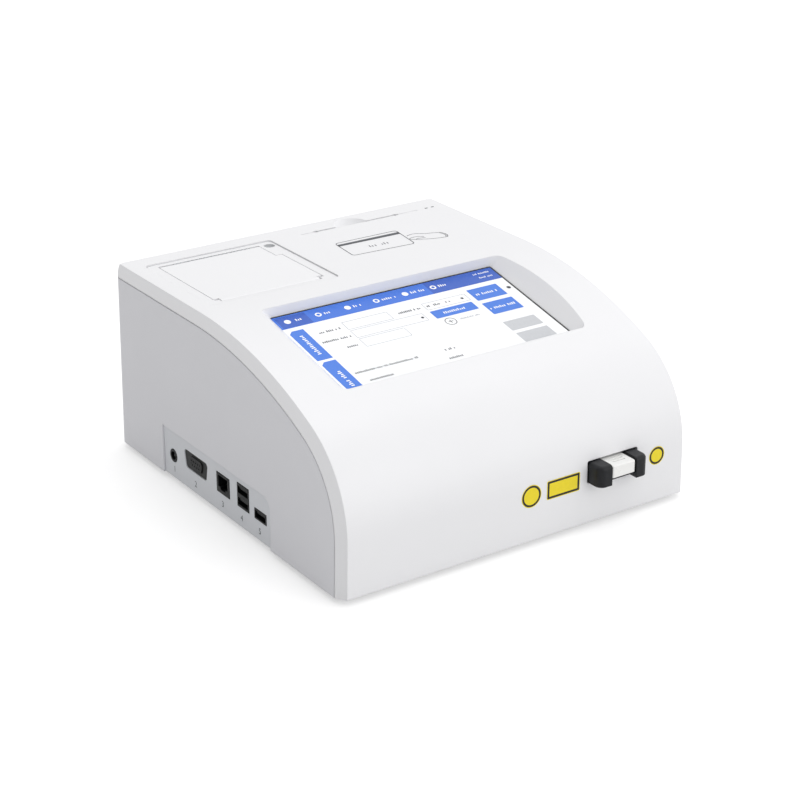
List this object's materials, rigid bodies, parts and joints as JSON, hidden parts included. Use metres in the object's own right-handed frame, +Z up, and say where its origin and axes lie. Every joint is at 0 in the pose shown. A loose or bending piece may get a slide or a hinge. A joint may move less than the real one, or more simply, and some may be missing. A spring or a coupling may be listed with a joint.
{
  "type": "fluorescence immunoassay analyzer",
  "caption": "Bench-top fluorescence test reader with a sloped touch display, a sliding test tray, a lidded receipt printer, a card slot and side sockets.",
  "frame": {"origin": "on the table, below the middle of the outline of case and extended tray", "axes": "+X to the right seen from the front, +Y from the front to the rear, +Z up"},
  "size_m": [0.272, 0.298, 0.1325],
  "materials": {
    "white_abs": "painted satin white moulding",
    "grey_abs": "light blue-grey moulding, fine texture",
    "port_grey": "lighter grey moulding",
    "black_plastic": "black moulding",
    "tray_black": "satin black moulding",
    "cassette_white": "white polystyrene",
    "rubber": "soft foot rubber",
    "screw_steel": "zinc plated",
    "sheet_steel": "galvanised sheet",
    "bright_steel": "ground and polished",
    "socket_shell": "tin plated shell",
    "brass": "turned",
    "bronze": "sintered bronze",
    "board_green": "glass-fibre board with solder mask",
    "heatsink": "extruded, anodised",
    "glass": "touch glass",
    "display": "display module",
    "ribbon": "flexible circuit",
    "platen_rubber": "ground roller rubber",
    "paper": "thermal paper",
    "button_grey": "dark grey key",
    "optics_black": "black anodised",
    "lens": "polished glass",
    "filter_orange": "coloured glass",
    "filter_blue": "coloured glass",
    "motor_black": "black painted housing"
  },
  "bodies": {
    "case": {"top_cover": "white_abs", "left_side_panel": "grey_abs", "right_side_panel": "grey_abs", "rear_panel": "grey_abs", "base_tray": "grey_abs", "rubber_feet": "rubber", "housing_screws": "screw_steel", "board_screws": "screw_steel", "port_plate": "port_grey", "network_jack": "socket_shell", "dual_usb_socket": "socket_shell", "single_usb_socket": "socket_shell", "serial_connector": "socket_shell", "power_jack": "black_plastic", "main_board": "board_green", "processor_heatsink": "heatsink", "power_board": "board_green", "touch_glass": "glass", "lcd_module": "display", "display_bracket": "sheet_steel", "display_screws": "screw_steel", "display_ribbon": "ribbon", "printer_frame": "white_abs", "lid_hinge_pin": "bright_steel", "thermal_head": "heatsink", "tear_bar": "bright_steel", "printer_motor": "motor_black", "card_guide": "black_plastic", "card_reader_board": "board_green", "rail_frame": "sheet_steel", "guide_rods": "bright_steel", "stepper_motor": "motor_black", "home_sensor": "black_plastic", "optics_housing": "optics_black", "collecting_lens": "lens", "emission_filter": "filter_orange", "excitation_lens": "lens", "excitation_filter": "filter_blue", "light_source": "board_green", "detector_board": "board_green", "switch_housing": "black_plastic"},
    "printer_lid": {"printer_lid": "white_abs"},
    "platen": {"platen_roller": "platen_rubber", "platen_gear": "black_plastic"},
    "paper_roll": {"paper_roll": "paper"},
    "release_button": {"release_button": "button_grey"},
    "test_tray": {"test_tray": "tray_black", "carriage_bushes": "bronze", "lead_nut": "brass"},
    "test_cassette": {"test_cassette": "cassette_white"},
    "lead_screw": {"lead_screw": "bright_steel"},
    "power_rocker": {"power_rocker": "black_plastic"}
  },
  "joints": [
    {"name": "lid_hinge", "type": "hinge", "parent": "case", "child": "printer_lid", "pos_m": [-0.0681, 0.0509, 0.1291], "axis": [1, 0, 0], "range_deg": [0, 95]},
    {"name": "platen_spin", "type": "hinge", "parent": "printer_lid", "child": "platen", "pos_m": [-0.0681, 0.1222, 0.1245], "axis": [1, 0, 0], "continuous": true},
    {"name": "paper_roll_spin", "type": "hinge", "parent": "case", "child": "paper_roll", "pos_m": [-0.0681, 0.075, 0.1077], "axis": [1, 0, 0], "continuous": true},
    {"name": "release_button_press", "type": "slide", "parent": "case", "child": "release_button", "axis": [0, 0, -1], "range_m": [0, 0.0016], "stiffness_N_per_m": 600, "springref_m": -0.001},
    {"name": "tray_slide", "type": "slide", "parent": "case", "child": "test_tray", "axis": [0, 1, 0], "range_m": [0, 0.055]},
    {"name": "lead_screw_spin", "type": "hinge", "parent": "case", "child": "lead_screw", "pos_m": [0.0714, 0, 0.026], "axis": [0, 1, 0], "range_deg": [-1990, 10]},
    {"name": "cassette_slide", "type": "slide", "parent": "test_tray", "child": "test_cassette", "axis": [0, -1, 0], "range_m": [0, 0.06]},
    {"name": "power_rocker_tilt", "type": "hinge", "parent": "case", "child": "power_rocker", "pos_m": [0.088, 0.1462, 0.052], "axis": [1, 0, 0], "range_deg": [-18, 0]}
  ],
  "couplings": [
    {"joint": "lead_screw_spin", "follows": "tray_slide", "rad_per_m": -628.32}
  ]
}
